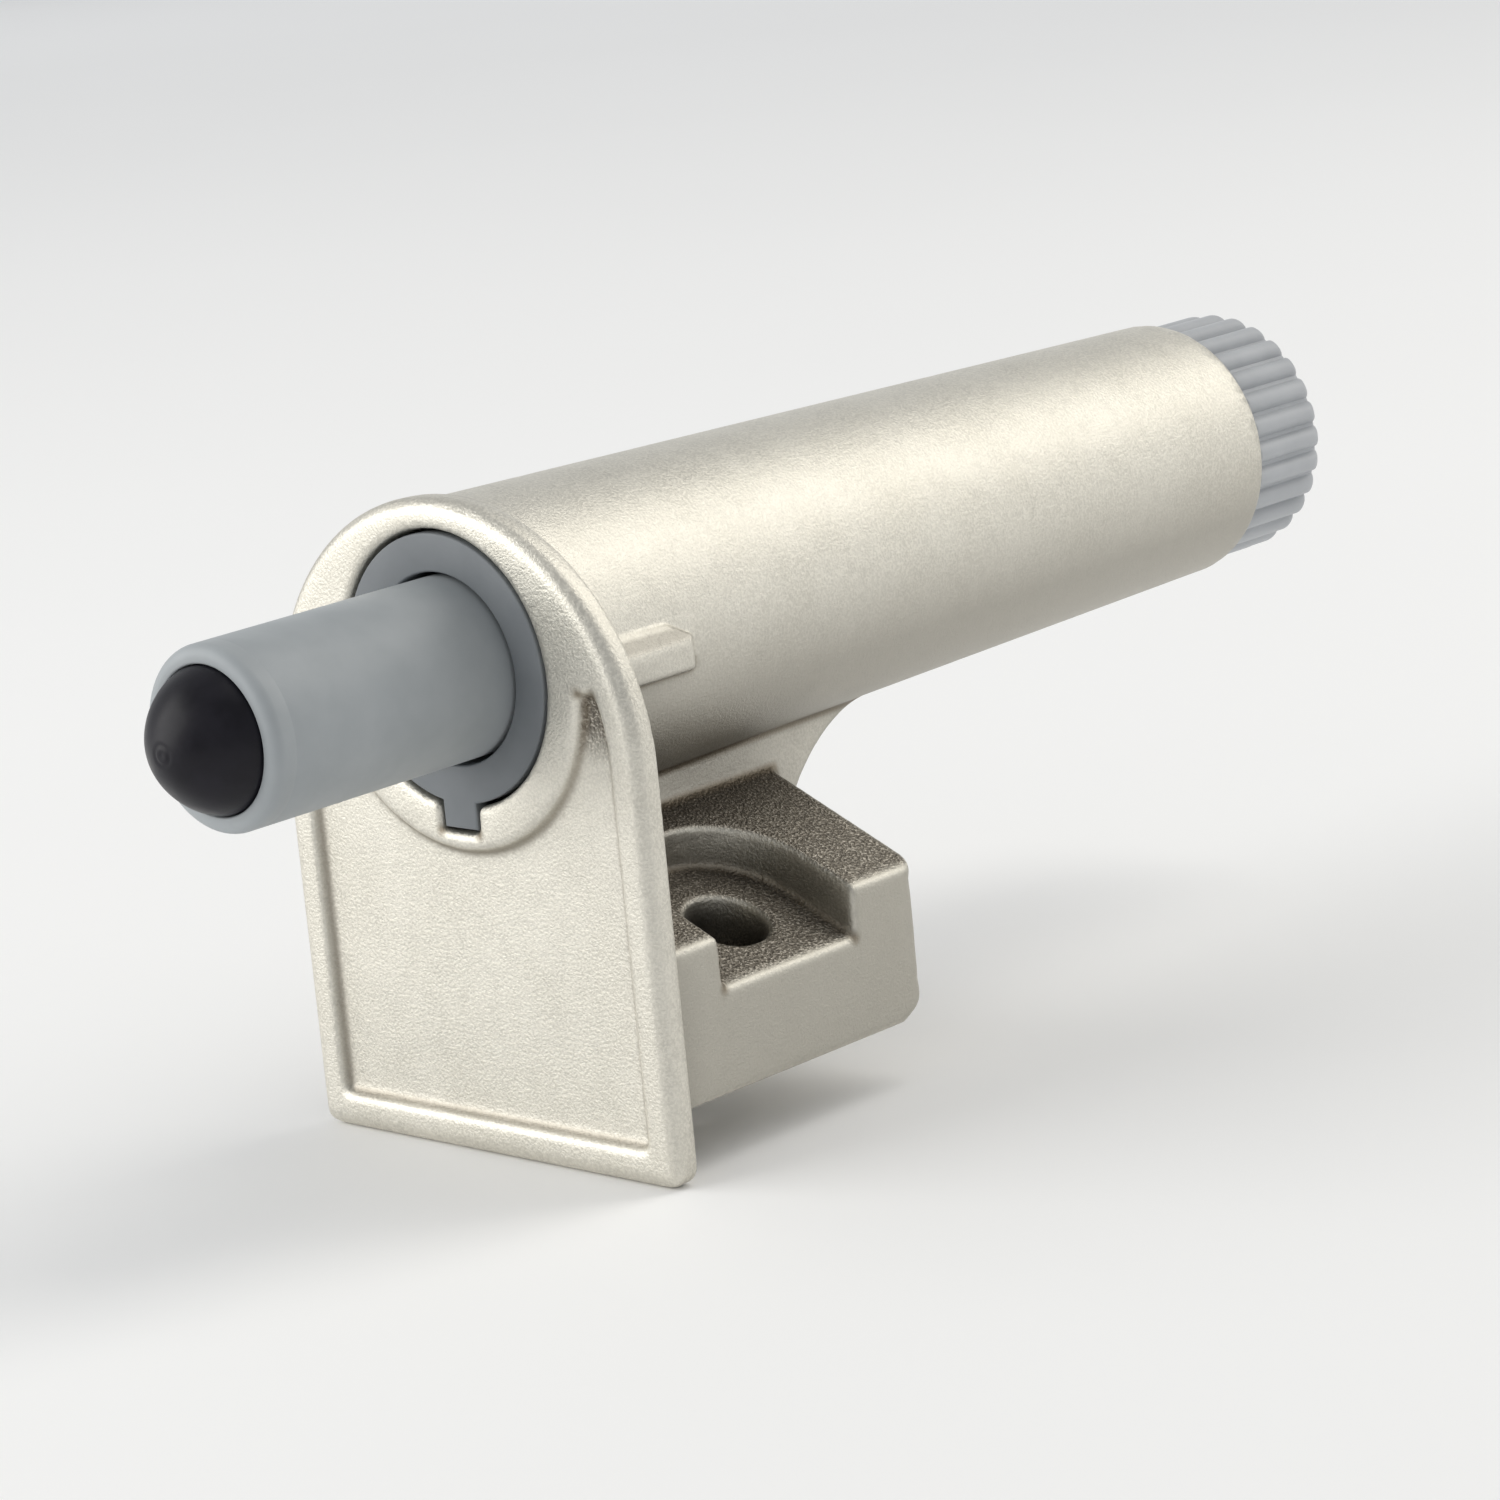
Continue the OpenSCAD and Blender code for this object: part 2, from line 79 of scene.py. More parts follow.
PLATE_MID_Y = PLATE_FACE_Y + 0.75
PLATE_SIDE_X = 10.25
PLATE_SIDE_TOP = 13
PROFILE_BANDS = 46
LUG_REAR_Y = -1.2
LUG_TOP = 1.05
LUG_RIDGE = 0.25
LUG_SLANT = 1.5
ROOF_TILT = math.radians(23.4)
ROOF_REACH = BLOCK_HALF_W * math.sin(ROOF_TILT) + EAVES_H * math.cos(ROOF_TILT)
BLOCK_SIDE_X = 9.7
ROOF_REAR_Y = 8.5


def cad_copy_mm(node):
    """A merged copy of a CAD node as a bmesh in millimetres."""
    bm = bmesh.new()
    bm.from_mesh(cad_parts[node].data)
    bmesh.ops.scale(bm, vec=(1 / MM,) * 3, verts=bm.verts)
    bmesh.ops.remove_doubles(bm, verts=bm.verts, dist=0.0015)
    return bm


def new_piece(name, mesh):
    piece = bpy.data.objects.new(name, mesh)
    bpy.context.scene.collection.objects.link(piece)
    return piece


def finish_piece(piece, body, slot, material, *nodes):
    """Gives a piece its material, its CAD body and the nodes that it stands for."""
    piece.data.materials.clear()
    piece.data.materials.append(material)
    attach(piece, body)
    if nodes:
        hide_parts(*nodes)


def evaluated_mesh(piece):
    depsgraph = bpy.context.evaluated_depsgraph_get()
    return bpy.data.meshes.new_from_object(piece.evaluated_get(depsgraph))


def read_points(mesh):
    points = np.empty(len(mesh.vertices) * 3)
    mesh.vertices.foreach_get("co", points)
    return points.reshape(-1, 3)


def read_normals(mesh):
    normals = np.empty(len(mesh.vertices) * 3)
    mesh.vertices.foreach_get("normal", normals)
    return normals.reshape(-1, 3)


def read_edges(mesh):
    edges = np.empty(len(mesh.edges) * 2, dtype=np.int64)
    mesh.edges.foreach_get("vertices", edges)
    return edges.reshape(-1, 2)


def neighbour_mean(values, edges):
    """The mean of each vertex's neighbours, for one value or several per vertex."""
    ends = np.concatenate([edges[:, 0], edges[:, 1]])
    others = np.concatenate([edges[:, 1], edges[:, 0]])
    count = np.maximum(np.bincount(ends, minlength=len(values)), 1)
    flat = values.reshape(len(values), -1)
    columns = [np.bincount(ends, weights=flat[others, k], minlength=len(values)) / count
               for k in range(flat.shape[1])]
    return np.stack(columns, axis=1).reshape(values.shape)


def sharp_edge_tree(bm, kinds):
    """Points along a solid's sharp edges, convex (1), hollow (-1) or both, with the bend at each."""
    samples, bends = [], []
    for edge in bm.edges:
        bend = edge.calc_face_angle_signed(0)
        if abs(bend) < SHARP_ANGLE or (1 if bend > 0 else -1) not in kinds:
            continue
        start, end = edge.verts[0].co, edge.verts[1].co
        steps = max(1, int((end - start).length / 0.1))
        samples += [start.lerp(end, k / steps) for k in range(steps + 1)]
        bends += [abs(bend)] * (steps + 1)
    tree = KDTree(len(samples))
    for index, point in enumerate(samples):
        tree.insert(point, index)
    tree.balance()
    return tree, np.array(bends)


def distances(tree, points):
    return np.array([tree.find(Vector(p))[2] for p in points])


def flat_faces(bm):
    """For each face, whether it belongs to a flat part of the solid."""
    flat = []
    for face in bm.faces:
        angles = [e.calc_face_angle() for e in face.edges if len(e.link_faces) == 2]
        flat.append(all(a < 0.004 or a > SHARP_ANGLE for a in angles))
    return flat


def off_axis(points):
    """Distance of each point from the barrel's axis."""
    return np.linalg.norm(points[:, [0, 2]] - (0, AXIS_H), axis=1)


def grow_off_axis(points, grow):
    """Moves each point out from the barrel's axis by its own factor."""
    points[:, [0, 2]] = (points[:, [0, 2]] - (0, AXIS_H)) * grow[:, None] + (0, AXIS_H)


def cone_at(points):
    """Radius of the barrel's skin at each point's place along the axis."""
    return BARREL_FRONT_R - BARREL_TAPER * (points[:, 1] - PLATE_FACE_Y)


def true_to_cone(points, hold):
    """Moves points that lie near the barrel's skin onto its exact cone."""
    reach, cone = off_axis(points), cone_at(points)
    near = (np.abs(reach - cone) < 0.12) & (hold > 0)
    grow_off_axis(points, 1 + np.where(near, hold * (cone / np.maximum(reach, 1e-6) - 1), 0))


def hold_away(away):
    """0 at an edge, 1 where the skin follows the solid exactly."""
    hold = np.clip((away - EDGE_SOFT[0]) / (EDGE_SOFT[1] - EDGE_SOFT[0]), 0, 1)
    return hold * hold * (3 - 2 * hold)


def on_lugs(points):
    """Which points belong to the two small lugs behind the plate."""
    beside = (np.abs(points[:, 0]) > 6.9) & (np.abs(points[:, 2] - AXIS_H) < 1.5)
    return beside & (points[:, 1] > PLATE_FACE_Y + 2) & (points[:, 1] < 2)


def edge_softness(points):
    """How strongly each place is rounded: fully, but less on the lugs."""
    return np.where(on_lugs(points), 0.12, 0.5)[:, None]


def lug_slopes(points):
    """Which points lie on the upper slopes of the lugs."""
    proud = off_axis(points) > cone_at(points) + 0.08
    return on_lugs(points) & (points[:, 2] > AXIS_H + LUG_RIDGE) & proud


def slant_lug_ends(points):
    """Lets the upper slope of each lug run out in a slant before the lug's rear end."""
    line = LUG_RIDGE + (LUG_TOP - LUG_RIDGE) * (LUG_REAR_Y - points[:, 1]) / LUG_SLANT
    cut = np.clip((points[:, 2] - AXIS_H - line) / 0.15, 0, 1) * on_lugs(points)
    reach = np.maximum(off_axis(points), 1e-6)
    grow_off_axis(points, 1 + cut * (np.minimum(cone_at(points) / reach, 1) - 1))


def crisp_rear_edge(points):
    """Draws the barrel's rear edge out to the smaller radius that the plated piece shows."""
    rear_r = BARREL_FRONT_R - BARREL_TAPER * (BARREL_L - CAD_REAR_R)
    rear_y = PLATE_FACE_Y + BARREL_L
    across = off_axis(points) - (rear_r - CAD_REAR_R)
    back = points[:, 1] - (rear_y - CAD_REAR_R)
    rounding = (across > 0) & (back > 0)
    turn = np.arctan2(back, across)
    reach = rear_r - REAR_R + REAR_R * np.cos(turn)
    grow_off_axis(points, np.where(rounding, reach / np.maximum(off_axis(points), 1e-6), 1))
    points[:, 1] = np.where(rounding, rear_y - REAR_R + REAR_R * np.sin(turn), points[:, 1])


def even_plate_sides(points):
    """Gives the plate's two straight sides one even edge profile along their whole height."""
    side = (np.abs(points[:, 0]) > PLATE_SIDE_X) & (points[:, 1] < BEHIND_PLATE_Y)
    side &= (points[:, 2] > 0) & (points[:, 2] < PLATE_SIDE_TOP)
    across, back = np.abs(points[side, 0]) - PLATE_SIDE_X, points[side, 1] - PLATE_MID_Y
    turn, reach = np.arctan2(back, across), np.hypot(across, back)
    band = np.digitize(turn, np.linspace(-math.pi / 2, math.pi / 2, PROFILE_BANDS))
    count = np.bincount(band)
    kept = np.nonzero(count)[0]
    mean_turn = np.bincount(band, weights=turn)[kept] / count[kept]
    mean_reach = np.bincount(band, weights=reach)[kept] / count[kept]
    even = np.interp(turn, mean_turn, mean_reach) / np.maximum(reach, 1e-6)
    points[side, 0] = np.sign(points[side, 0]) * (PLATE_SIDE_X + across * even)
    points[side, 1] = PLATE_MID_Y + back * even


def drop_slivers(mesh):
    """Takes out the needle-thin triangles that thinning leaves."""
    bm = bmesh.new()
    bm.from_mesh(mesh)
    bmesh.ops.dissolve_degenerate(bm, edges=bm.edges, dist=0.012)
    bmesh.ops.triangulate(bm, faces=bm.faces)
    bm.to_mesh(mesh)
    bm.free()


def relax(points, edges, strength, passes):
    """Draws each point towards the middle of its neighbours."""
    for _ in range(passes):
        points += strength * (neighbour_mean(points, edges) - points)


def hold_to_flats(points, hold, surface, flat):
    """Moves points onto the solid's flat faces, and returns which of them lie on curved ones."""
    curved = np.zeros(len(points), bool)
    for index in np.nonzero(hold)[0]:
        spot, _, face, _ = surface.find_nearest(Vector(points[index]))
        if flat[face]:
            points[index] += hold[index] * (np.array(spot) - points[index])
        else:
            curved[index] = True
    return curved


def thin_flats(piece, weight):
    """Thins the mesh where weight says so, and returns the thinned mesh."""
    group = piece.vertex_groups.new(name="thin")
    for level in range(1, 11):
        chosen = np.nonzero(np.round(weight * 10) == level)[0]
        group.add(chosen.tolist(), level / 10, "REPLACE")
    thin = piece.modifiers.new("Thin flats", "DECIMATE")
    thin.vertex_group = "thin"
    thin.ratio = CAST_TRIANGLES / (2 * len(piece.data.polygons))
    thinned = evaluated_mesh(piece)
    piece.modifiers.clear()
    piece.vertex_groups.clear()
    drop_slivers(thinned)
    return thinned


def cast_skin(bm, name):
    """The solid remeshed with soft edges, true to its flats and cone, and dense only along edges."""
    mesh = bpy.data.meshes.new(name)
    bm.to_mesh(mesh)
    piece = new_piece(name, mesh)
    remesh = piece.modifiers.new("Even skin", "REMESH")
    remesh.mode = "VOXEL"
    remesh.voxel_size = CAST_GRID
    skin = evaluated_mesh(piece)
    piece.modifiers.clear()
    piece.data = skin
    points, edges = read_points(skin), read_edges(skin)
    relax(points, edges, edge_softness(points), CAST_SMOOTHING)
    tree, _ = sharp_edge_tree(bm, (-1, 1))
    flat, surface = flat_faces(bm), BVHTree.FromBMesh(bm)
    away = distances(tree, points)
    hold = hold_away(away)
    curved = hold_to_flats(points, hold, surface, flat)
    relax(points, edges, (0.5 * hold * curved)[:, None], CURVE_SMOOTHING)
    true_to_cone(points, hold)
    skin.vertices.foreach_set("co", points.ravel())
    thin_weight = 0.7 * np.clip((away - 0.35) / 0.3, 0, 1)
    thin_weight[off_axis(points) < BORE_R + 0.1] = 1
    thinned = thin_flats(piece, thin_weight)
    piece.data = thinned
    points, edges = read_points(thinned), read_edges(thinned)
    relax(points, edges, edge_softness(points), THINNED_SMOOTHING)
    hold = hold_away(distances(tree, points) - 0.2)
    relax(points, edges, 0.5 * hold[:, None], HELD_SMOOTHING)
    hold_to_flats(points, hold, surface, flat)
    true_to_cone(points, hold)
    crisp_rear_edge(points)
    even_plate_sides(points)
    slant_lug_ends(points)
    thinned.vertices.foreach_set("co", points.ravel())
    thinned.update()
    thinned.shade_smooth()
    return piece


def store(mesh, name, amount):
    mesh.attributes.new(name, "FLOAT", "POINT").data.foreach_set("value", amount)


def mark_creases(mesh, bm):
    """Stores how near each place is to an inner corner, for painted shade in the creases, and to a proud edge
    (edge), for a painted highlight along it.
    """
    points = read_points(mesh)
    proud, _ = sharp_edge_tree(bm, (1,))
    store(mesh, "edge", np.clip(1 - distances(proud, points) / EDGE_WIDTH, 0, 1))
    hollow, bends = sharp_edge_tree(bm, (-1,))
    found = [hollow.find(Vector(p)) for p in points]
    near = np.clip(1 - np.array([f[2] for f in found]) / CREVICE_WIDTH, 0, 1)
    depth = np.clip((bends[[f[1] for f in found]] - SHARP_ANGLE) / FULL_BEND, 0, 1)
    open_lug = on_lugs(points) & (points[:, 2] > AXIS_H - 0.6)
    store(mesh, "crease_shade", np.where(open_lug, 0, near * depth))


def mark_occlusion_shade(mesh, surface, rays=14, reach=14.0):
    """Stores how far the space over each place is closed in, as painted shade: an ambient occlusion baked
    into the colour.
    """
    points, edges = read_points(mesh), read_edges(mesh)
    normals = read_normals(mesh)
    heights = 1 - (np.arange(rays) + 0.5) / rays
    turns = np.arange(rays) * math.pi * (3 - math.sqrt(5))
    flat = np.sqrt(1 - heights ** 2)
    fan = np.stack([flat * np.cos(turns), flat * np.sin(turns), heights], axis=1)
    occlusion_shade = np.zeros(len(points))
    outside = (off_axis(points) > BORE_R + 0.2) & (points[:, 2] < AXIS_H) & (points[:, 1] < 20)
    outside &= points[:, 1] > PLATE_FACE_Y + 1.2
    for index in np.nonzero(outside)[0]:
        normal = Vector(normals[index])
        turn = normal.to_track_quat("Z", "Y").to_matrix()
        start = Vector(points[index]) + normal * 0.08
        hits = 0.0
        for ray, weight in zip(fan, heights):
            towards = turn @ Vector(ray)
            spot, facing, _, distance = surface.ray_cast(start, towards, reach)
            if spot and facing.dot(towards) < 0:
                hits += weight * (1 - distance / reach)
        occlusion_shade[index] = hits / heights.sum()
    for _ in range(4):
        occlusion_shade = neighbour_mean(occlusion_shade, edges)
    # The upper slopes of the lugs get painted shade too.
    lug_slope_shade = neighbour_mean(lug_slopes(points).astype(float), edges)
    store(mesh, "occlusion_shade", np.maximum(occlusion_shade, 0.36 * lug_slope_shade))


def mark_sand_and_shade(mesh):
    """Stores where the skin is sandy and darker as painted shade, and where painted shade falls on the
    block's sides and on what faces down.
    """
    points, edges = read_points(mesh), read_edges(mesh)
    normals = read_normals(mesh)
    x, y, z = np.abs(points[:, 0]), points[:, 1], points[:, 2]
    behind = y > BEHIND_PLATE_Y
    under_roof = x * math.sin(ROOF_TILT) + z * math.cos(ROOF_TILT) < ROOF_REACH + 0.08
    upward = np.abs(normals[:, 0]) * math.sin(ROOF_TILT) + normals[:, 2] * math.cos(ROOF_TILT)
    on_roof = behind & under_roof & (upward > 0.75) & (y < ROOF_REAR_Y) & (z > 0.4)
    # The roof under the barrel and the recess's narrow tip: sandy grain, with painted shade.
    sandy_shade_mask = (on_roof & (x < BLOCK_SIDE_X)).astype(float)
    panel_tip = (y > PLATE_FACE_Y + 0.3) & (y < PLATE_FACE_Y + 0.6) & (x < 9.6) & (z < 19.2)
    sandy_shade_mask = np.maximum(sandy_shade_mask, panel_tip * np.clip((z - 15.4) / 1.6, 0, 1))
    for _ in range(2):
        sandy_shade_mask = neighbour_mean(sandy_shade_mask, edges)
    store(mesh, "sand_and_shade", sandy_shade_mask)
    store(mesh, "block_side", (under_roof & behind & (x > BLOCK_SIDE_X)).astype(float))
    store(mesh, "underside", behind * (z > 9) * np.clip((0.15 - normals[:, 2]) / 0.6, 0, 1))


def to_metres(piece):
    piece.data.transform(Matrix.Scale(MM, 4))


class Finish:
    """A material whose nodes are added by plain calls."""

    def __init__(self, name, **sockets):
        self.material = bpy.data.materials.new(name)
        self.material.use_nodes = True
        self.nodes, self.links = self.material.node_tree.nodes, self.material.node_tree.links
        self.shader = self.nodes["Principled BSDF"]
        for socket, value in sockets.items():
            self.shader.inputs[socket.replace("_", " ")].default_value = value
        self.place = self.nodes.new("ShaderNodeTexCoord").outputs["Object"]

    def noise(self, scale, detail=2.0, roughness=0.5):
        node = self.nodes.new("ShaderNodeTexNoise")
        node.inputs["Scale"].default_value = scale
        node.inputs["Detail"].default_value = detail
        node.inputs["Roughness"].default_value = roughness
        self.links.new(self.place, node.inputs["Vector"])
        return node.outputs["Fac"]

    def attribute(self, name):
        node = self.nodes.new("ShaderNodeAttribute")
        node.attribute_name = name
        return node.outputs["Fac"]

    def spread(self, value, from_low, from_high, to_low, to_high):
        node = self.nodes.new("ShaderNodeMapRange")
        limits = {"From Min": from_low, "From Max": from_high, "To Min": to_low, "To Max": to_high}
        for socket, number in limits.items():
            node.inputs[socket].default_value = number
        self.links.new(value, node.inputs["Value"])
        return node.outputs["Result"]

    def product(self, a, b):
        node = self.nodes.new("ShaderNodeMath")
        node.operation = "MULTIPLY"
        self.links.new(a, node.inputs[0])
        self.links.new(b, node.inputs[1])
        return node.outputs[0]

    def ramp(self, value, *stops):
        node = self.nodes.new("ShaderNodeValToRGB")
        elements = node.color_ramp.elements
        while len(elements) < len(stops):
            elements.new(0.5)
        for element, (position, colour) in zip(elements, stops):
            element.position = position
            element.color = (*colour, 1)
        self.links.new(value, node.inputs["Fac"])
        return node.outputs["Color"]

    def blend(self, factor, under, over):
        node = self.nodes.new("ShaderNodeMix")
        node.data_type = "RGBA"
        for socket, value in ((0, factor), (6, under), (7, over)):
            if isinstance(value, bpy.types.NodeSocket):
                self.links.new(value, node.inputs[socket])
            else:
                node.inputs[socket].default_value = value
        return node.outputs[2]

    def bump(self, *layers):
        """Stacks bump layers given as (height, strength, depth in metres)."""
        normal = None
        for height, strength, depth in layers:
            node = self.nodes.new("ShaderNodeBump")
            node.inputs["Strength"].default_value = strength
            node.inputs["Distance"].default_value = depth
            self.links.new(height, node.inputs["Height"])
            if normal:
                self.links.new(normal, node.inputs["Normal"])
            normal = node.outputs["Normal"]
        self.links.new(normal, self.shader.inputs["Normal"])

    def set(self, socket, value):
        self.links.new(value, self.shader.inputs[socket])


nickel = Finish("satin_nickel", Metallic=1.0)
cloud = nickel.noise(260, 3)
mottle = nickel.noise(1300, 3, 0.6)
grain = nickel.noise(7600, 3, 0.62)
peel = nickel.noise(3300, 2)
sand = nickel.noise(7600, 1.5, 0.5)
edge = nickel.attribute("edge")
# Painted highlight: the darker blends below fade out near proud edges, so these stay light.
clear_of_edge_highlight = nickel.spread(edge, 0, 1, 1, 0.12)
sand_and_shade = nickel.product(nickel.attribute("sand_and_shade"), clear_of_edge_highlight)
occlusion_shade = nickel.product(nickel.spread(nickel.attribute("occlusion_shade"), 0.05, 0.7, 0, 0.95), clear_of_edge_highlight)
block_side_shade = nickel.product(nickel.attribute("block_side"), nickel.spread(edge, 0, 1, 0.75, 0))
underside = nickel.spread(nickel.attribute("underside"), 0, 1, 0, 0.75)
crease_shade = nickel.spread(nickel.attribute("crease_shade"), 0, 0.8, 0, 0.8)
plate_colour = nickel.ramp(cloud, (0.3, (0.625, 0.60, 0.53)), (0.7, (0.695, 0.67, 0.60)))
plate_colour = nickel.blend(nickel.spread(mottle, 0.45, 0.7, 0, 0.3), plate_colour, (0.50, 0.48, 0.43, 1))
plate_colour = nickel.blend(nickel.spread(grain, 0.42, 0.62, 0, 0.65), plate_colour, (0.84, 0.81, 0.73, 1))
# Painted highlight: a lighter nickel colour along proud edges.
plate_colour = nickel.blend(nickel.spread(edge, 0, 1, 0, 0.25), plate_colour, (0.80, 0.77, 0.69, 1))
# Painted shade: the block's sides are darkened, except along their proud edges.
plate_colour = nickel.blend(block_side_shade, plate_colour, (0.42, 0.40, 0.35, 1))
# Painted shade: surfaces behind the plate that face down are darkened.
plate_colour = nickel.blend(underside, plate_colour, (0.40, 0.38, 0.335, 1))
# Sandy grain in dark tones: the grain itself, and painted shade under the barrel and at the recess's tip.
sand_shade_colour = nickel.ramp(sand, (0.38, (0.155, 0.137, 0.115)), (0.54, (0.24, 0.217, 0.18)),
                           (0.66, (0.56, 0.52, 0.455)))
plate_colour = nickel.blend(nickel.spread(sand_and_shade, 0, 1, 0, 0.95), plate_colour, sand_shade_colour)
# Painted shade: darker brown where the space over the skin is closed in.
plate_colour = nickel.blend(occlusion_shade, plate_colour, (0.10, 0.085, 0.068, 1))
# Painted shade: a dark brown line in creases and inner corners.
plate_colour = nickel.blend(crease_shade, plate_colour, (0.17, 0.135, 0.09, 1))
nickel.set("Base Color", plate_colour)
nickel.set("Roughness", nickel.spread(grain, 0.3, 0.7, 0.42, 0.53))
sand_height = nickel.product(sand, sand_and_shade)
nickel.bump((peel, 0.25, 0.00003), (grain, 1.0, 0.000036), (sand_height, 1.0, 0.00009))

casting = cad_copy_mm("housing")
housing = cast_skin(casting, "nickel_housing")
mark_creases(housing.data, casting)
mark_occlusion_shade(housing.data, BVHTree.FromBMesh(casting))
mark_sand_and_shade(housing.data)
casting.free()
to_metres(housing)
finish_piece(housing, "casing", "nickel_casting", nickel.material, "housing")

# Guide sleeve: a grey moulded tube pressed into the barrel from the front and held by two latches.
# Its flange and key show as a flat ring round the plunger, with a thin dark gap to the boss.


def grey_moulding(name, dark, light, roughness):
    """A matt grey plastic between two tones, with a faint moulded skin."""
    grey = Finish(name, Roughness=roughness, IOR=1.48)
    grey.set("Base Color", grey.ramp(grey.noise(420, 3), (0.3, dark), (0.7, light)))
    grey.bump((grey.noise(5200, 2), 0.18, 0.00002), (grey.noise(700, 2), 0.12, 0.00003))
    return grey


MOUTH_R = 4.6
MOUTH_DRAFT = 0.13
sleeve_grey = grey_moulding("sleeve_moulding", (0.16, 0.174, 0.187), (0.187, 0.202, 0.215), 0.52)


def soften_front(node, name, front_y, width):
    """A copy of a node whose front edges are rounded, as on a moulding, and whose mouth opens a little."""
    bm = cad_copy_mm(node)
    front = [e for e in bm.edges if len(e.link_faces) == 2 and e.calc_face_angle() > SHARP_ANGLE
             and all(abs(v.co.y - front_y) < 0.002 for v in e.verts)]
    for vert in {v for e in front for v in e.verts}:
        radius = math.hypot(vert.co.x, vert.co.z - AXIS_H)
        if radius < MOUTH_R:
            grow = 1 + MOUTH_DRAFT / radius
            vert.co.x, vert.co.z = vert.co.x * grow, AXIS_H + (vert.co.z - AXIS_H) * grow
    bmesh.ops.bevel(bm, geom=front, offset=width, segments=3, profile=0.5, affect="EDGES", clamp_overlap=True)
    mesh = bpy.data.meshes.new(name)
    bm.to_mesh(mesh)
    bm.free()
    mesh.transform(Matrix.Scale(MM, 4))
    return new_piece(name, mesh)


def smooth_by_angle(piece):
    piece.data.shade_smooth()
    piece.data.set_sharp_from_angle(angle=SHARP_ANGLE)


FLANGE_FRONT_Y = PLATE_FACE_Y + 0.15
sleeve = soften_front("guide_sleeve", "flanged_sleeve", FLANGE_FRONT_Y, 0.1)
finish_piece(sleeve, "casing", "grey_plastic", sleeve_grey.material, "guide_sleeve")
smooth_by_angle(sleeve)

# Plunger: a moulded cylinder with a rounded rim, which the door pushes in and which holds the oil.
# It is turned here as one profile: bumper socket, rim, outer wall, seal recess and chamber.
LATHE_STEPS = 192


def lathe(name, profile, steps=LATHE_STEPS):
    """Spins (radius, y behind the plate's face) points round the barrel's axis into a closed mesh."""
    bm = bmesh.new()
    rings = []
    for radius, y in profile:
        if radius < 1e-6:
            rings.append([bm.verts.new((0, PLATE_FACE_Y + y, AXIS_H))])
            continue
        angles = [2 * math.pi * k / steps for k in range(steps)]
        rings.append([bm.verts.new((radius * math.cos(a), PLATE_FACE_Y + y, AXIS_H + radius * math.sin(a)))
                      for a in angles])
    for a, b in zip(rings, rings[1:]):
        for k in range(steps):
            corners = [a[k % len(a)], a[(k + 1) % steps % len(a)], b[(k + 1) % steps % len(b)], b[k % len(b)]]
            bm.faces.new(list(dict.fromkeys(corners)))
    bmesh.ops.recalc_face_normals(bm, faces=bm.faces)
    mesh = bpy.data.meshes.new(name)
    bm.to_mesh(mesh)
    bm.free()
    mesh.transform(Matrix.Scale(MM, 4))
    return new_piece(name, mesh)


def arc(centre, radius, start, end, steps):
    """Points of an arc in a profile, angles in degrees from the outward direction towards the rear."""
    angles = [math.radians(start + (end - start) * k / steps) for k in range(steps + 1)]
    return [(centre[0] + radius * math.cos(a), centre[1] + radius * math.sin(a)) for a in angles]


def along(start, end, steps):
    """Points of a straight stretch, without its ends, so that long walls get even faces."""
    return [(start[0] + (end[0] - start[0]) * k / steps, start[1] + (end[1] - start[1]) * k / steps)
            for k in range(1, steps)]


def node_reach(node):
    """Where a node starts and ends along the axis, in millimetres behind the plate's face."""
    low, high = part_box(node)
    return low.y / MM - PLATE_FACE_Y, high.y / MM - PLATE_FACE_Y


PLUNGER_R = 4.0
RIM_R = 0.55
SOCKET_R = 3.2
SOCKET_DEPTH = 3.5
BULKHEAD = 1.5
CHAMBER_R = 3.0
PACK_R = 3.25
RING_DIP = 0.012
END_R = 0.15
nose, plunger_end = node_reach("plunger_cylinder")
chamber_end = node_reach("foam_washer")[0]
chamber_start = nose + SOCKET_DEPTH + BULKHEAD
ring_y = nose + 1.15
plunger_profile = [(0, nose + SOCKET_DEPTH), (SOCKET_R - 0.1, nose + SOCKET_DEPTH),
                   (SOCKET_R, nose + SOCKET_DEPTH - 0.1)]
plunger_profile += along(plunger_profile[-1], (SOCKET_R, nose + 0.12), 4)
plunger_profile += arc((SOCKET_R + 0.1, nose + 0.1), 0.1, 180, 270, 4)
plunger_profile += arc((PLUNGER_R - RIM_R, nose + RIM_R), RIM_R, -90, 0, 14)
plunger_profile += [(PLUNGER_R, ring_y - 0.09), (PLUNGER_R - RING_DIP, ring_y - 0.03),
                    (PLUNGER_R - RING_DIP, ring_y + 0.03), (PLUNGER_R, ring_y + 0.09)]
plunger_profile += along((PLUNGER_R, ring_y + 0.09), (PLUNGER_R, plunger_end - END_R), 24)
plunger_profile += arc((PLUNGER_R - END_R, plunger_end - END_R), END_R, 0, 90, 4)
plunger_profile += [(PACK_R, plunger_end), (PACK_R, chamber_end), (CHAMBER_R, chamber_end)]
plunger_profile += along((CHAMBER_R, chamber_end), (CHAMBER_R, chamber_start), 12)
plunger_profile += [(CHAMBER_R, chamber_start), (0, chamber_start)]
plunger = lathe("plunger_barrel", plunger_profile)
plunger_grey = grey_moulding("plunger_moulding", (0.33, 0.355, 0.37), (0.375, 0.40, 0.415), 0.5)
finish_piece(plunger, "plunger", "grey_plastic", plunger_grey.material, "plunger_cylinder")
smooth_by_angle(plunger)

